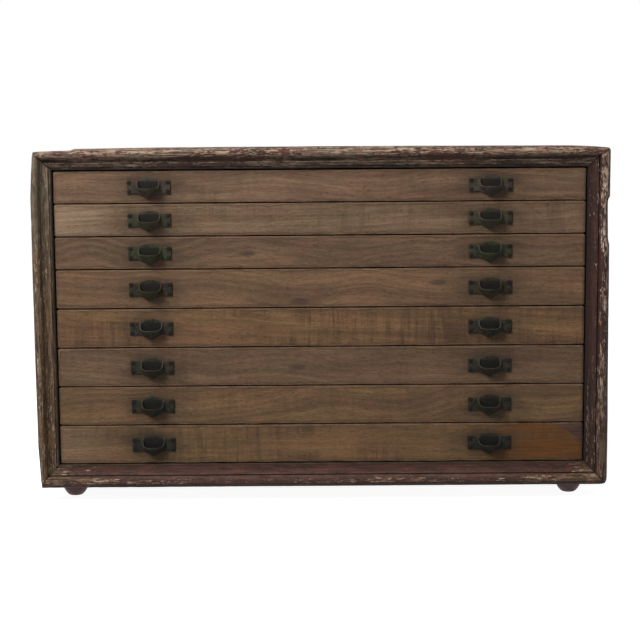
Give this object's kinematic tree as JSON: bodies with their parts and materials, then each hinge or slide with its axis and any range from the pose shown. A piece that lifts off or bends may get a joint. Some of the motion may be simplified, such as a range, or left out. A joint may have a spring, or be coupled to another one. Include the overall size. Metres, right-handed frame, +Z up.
{
  "type": "type case cabinet",
  "caption": "Low wooden cabinet with a mitred moulded frame and a stack of shallow sliding trays, each divided into boxes for printing type.",
  "frame": {"origin": "on the floor under the middle of the cabinet, midway between its front-most and rear-most points", "axes": "+X to the right as seen from the front, +Y towards the back, +Z up"},
  "size_m": [0.7434, 0.4518, 0.4613],
  "materials": {
    "frame_paint": "old maroon and olive paint, worn through and flaking",
    "case_wood": "dark stained board, worn",
    "back_wood": "bare board",
    "runner_wood": "bare, polished by wear",
    "foot_paint": "dark red brown paint",
    "tray_wood": "bare, darkened by handling",
    "iron": "dark, with green and brown corrosion",
    "drawer_1_front": "bare walnut brown board, sawn and worn",
    "drawer_2_front": "bare walnut brown board, sawn and worn",
    "drawer_3_front": "bare walnut brown board, sawn and worn",
    "drawer_4_front": "bare walnut brown board, sawn and worn",
    "drawer_5_front": "bare walnut brown board, sawn and worn",
    "drawer_6_front": "bare walnut brown board, sawn and worn",
    "drawer_7_front": "bare walnut brown board, sawn and worn",
    "drawer_8_front": "bare walnut brown board, sawn and worn"
  },
  "bodies": {
    "cabinet": {"top_board": "case_wood", "bottom_board": "case_wood", "left_side": "case_wood", "right_side": "case_wood", "back_boards": "back_wood", "frame_top": "frame_paint", "frame_bottom": "frame_paint", "frame_left": "frame_paint", "frame_right": "frame_paint", "runners_left": "runner_wood", "runners_right": "runner_wood", "feet": "foot_paint"},
    "drawer_1": {"drawer_1_front": "drawer_1_front", "drawer_1_sides": "tray_wood", "drawer_1_back": "tray_wood", "drawer_1_bottom": "tray_wood", "drawer_1_partitions": "tray_wood", "drawer_1_pulls": "iron"},
    "drawer_2": {"drawer_2_front": "drawer_2_front", "drawer_2_sides": "tray_wood", "drawer_2_back": "tray_wood", "drawer_2_bottom": "tray_wood", "drawer_2_partitions": "tray_wood", "drawer_2_pulls": "iron"},
    "drawer_3": {"drawer_3_front": "drawer_3_front", "drawer_3_sides": "tray_wood", "drawer_3_back": "tray_wood", "drawer_3_bottom": "tray_wood", "drawer_3_partitions": "tray_wood", "drawer_3_pulls": "iron"},
    "drawer_4": {"drawer_4_front": "drawer_4_front", "drawer_4_sides": "tray_wood", "drawer_4_back": "tray_wood", "drawer_4_bottom": "tray_wood", "drawer_4_partitions": "tray_wood", "drawer_4_pulls": "iron"},
    "drawer_5": {"drawer_5_front": "drawer_5_front", "drawer_5_sides": "tray_wood", "drawer_5_back": "tray_wood", "drawer_5_bottom": "tray_wood", "drawer_5_partitions": "tray_wood", "drawer_5_pulls": "iron"},
    "drawer_6": {"drawer_6_front": "drawer_6_front", "drawer_6_sides": "tray_wood", "drawer_6_back": "tray_wood", "drawer_6_bottom": "tray_wood", "drawer_6_partitions": "tray_wood", "drawer_6_pulls": "iron"},
    "drawer_7": {"drawer_7_front": "drawer_7_front", "drawer_7_sides": "tray_wood", "drawer_7_back": "tray_wood", "drawer_7_bottom": "tray_wood", "drawer_7_partitions": "tray_wood", "drawer_7_pulls": "iron"},
    "drawer_8": {"drawer_8_front": "drawer_8_front", "drawer_8_sides": "tray_wood", "drawer_8_back": "tray_wood", "drawer_8_bottom": "tray_wood", "drawer_8_partitions": "tray_wood", "drawer_8_pulls": "iron"}
  },
  "joints": [
    {"name": "drawer_1_slide", "type": "slide", "parent": "cabinet", "child": "drawer_1", "axis": [0, -1, 0], "range_m": [0, 0.33]},
    {"name": "drawer_2_slide", "type": "slide", "parent": "cabinet", "child": "drawer_2", "axis": [0, -1, 0], "range_m": [0, 0.33]},
    {"name": "drawer_3_slide", "type": "slide", "parent": "cabinet", "child": "drawer_3", "axis": [0, -1, 0], "range_m": [0, 0.33]},
    {"name": "drawer_4_slide", "type": "slide", "parent": "cabinet", "child": "drawer_4", "axis": [0, -1, 0], "range_m": [0, 0.33]},
    {"name": "drawer_5_slide", "type": "slide", "parent": "cabinet", "child": "drawer_5", "axis": [0, -1, 0], "range_m": [0, 0.33]},
    {"name": "drawer_6_slide", "type": "slide", "parent": "cabinet", "child": "drawer_6", "axis": [0, -1, 0], "range_m": [0, 0.33]},
    {"name": "drawer_7_slide", "type": "slide", "parent": "cabinet", "child": "drawer_7", "axis": [0, -1, 0], "range_m": [0, 0.33]},
    {"name": "drawer_8_slide", "type": "slide", "parent": "cabinet", "child": "drawer_8", "axis": [0, -1, 0], "range_m": [0, 0.33]}
  ]
}
